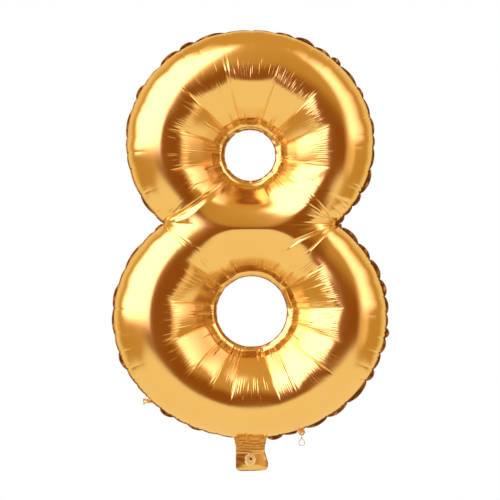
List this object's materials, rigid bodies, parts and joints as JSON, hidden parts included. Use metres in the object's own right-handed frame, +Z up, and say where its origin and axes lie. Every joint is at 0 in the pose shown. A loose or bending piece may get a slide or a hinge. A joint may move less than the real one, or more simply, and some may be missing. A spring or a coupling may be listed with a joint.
{
  "type": "foil number balloon",
  "caption": "Inflated metallised film figure-eight balloon with two open holes, a sealed margin, a self-sealing valve tail and hanging tabs.",
  "frame": {"origin": "middle of the tail's neck, where the ribbon is tied and the tail folds", "axes": "+X to the balloon's right seen from the front, +Y to its back, +Z up through both loops; the films meet in the plane Y = 0"},
  "size_m": [0.242, 0.0636, 0.385],
  "materials": {
    "foil": "polished",
    "seam_foil": "gloss",
    "tail_foil": "gloss",
    "port_patch": "gloss",
    "valve_film": "gloss",
    "channel_print": "matte",
    "thread": "matte"
  },
  "bodies": {
    "balloon": {"front_panel": "foil", "back_panel": "foil", "outer_seam": "seam_foil", "upper_hole_seam": "seam_foil", "lower_hole_seam": "seam_foil", "valve_front_film": "valve_film", "valve_back_film": "valve_film", "valve_channel_print": "channel_print"},
    "tail": {"tail_front_film": "tail_foil", "tail_back_film": "tail_foil", "tail_edge_seal": "seam_foil", "inflation_port": "port_patch"},
    "left_tab": {"left_hanging_tab": "foil"},
    "right_tab": {"right_hanging_tab": "foil"},
    "thread_tie": {"thread_tie": "thread"},
    "thread_loop": {"thread_loop": "thread"}
  },
  "joints": [
    {"name": "tail_fold", "type": "hinge", "parent": "balloon", "child": "tail", "pos_m": [0, 0, 0], "axis": [1, 0, 0], "range_deg": [-110, 110], "deforming": ["valve_front_film", "valve_back_film", "valve_channel_print"]},
    {"name": "left_tab_flex", "type": "hinge", "parent": "balloon", "child": "left_tab", "pos_m": [-0.0852, 0, 0.0415], "axis": [0, 0, 1], "range_deg": [-70, 70]},
    {"name": "right_tab_flex", "type": "hinge", "parent": "balloon", "child": "right_tab", "pos_m": [0.045, 0, 0.0183], "axis": [1, 0, 0], "range_deg": [-60, 60]},
    {"name": "thread_swing", "type": "hinge", "parent": "right_tab", "child": "thread_tie", "pos_m": [0.045, 0, 0.01215], "axis": [1, 0, 0], "range_deg": [-45, 45]},
    {"name": "loop_swing", "type": "hinge", "parent": "thread_tie", "child": "thread_loop", "pos_m": [0.045, 0, 0.00955], "axis": [0, 1, 0], "range_deg": [-60, 60]}
  ]
}
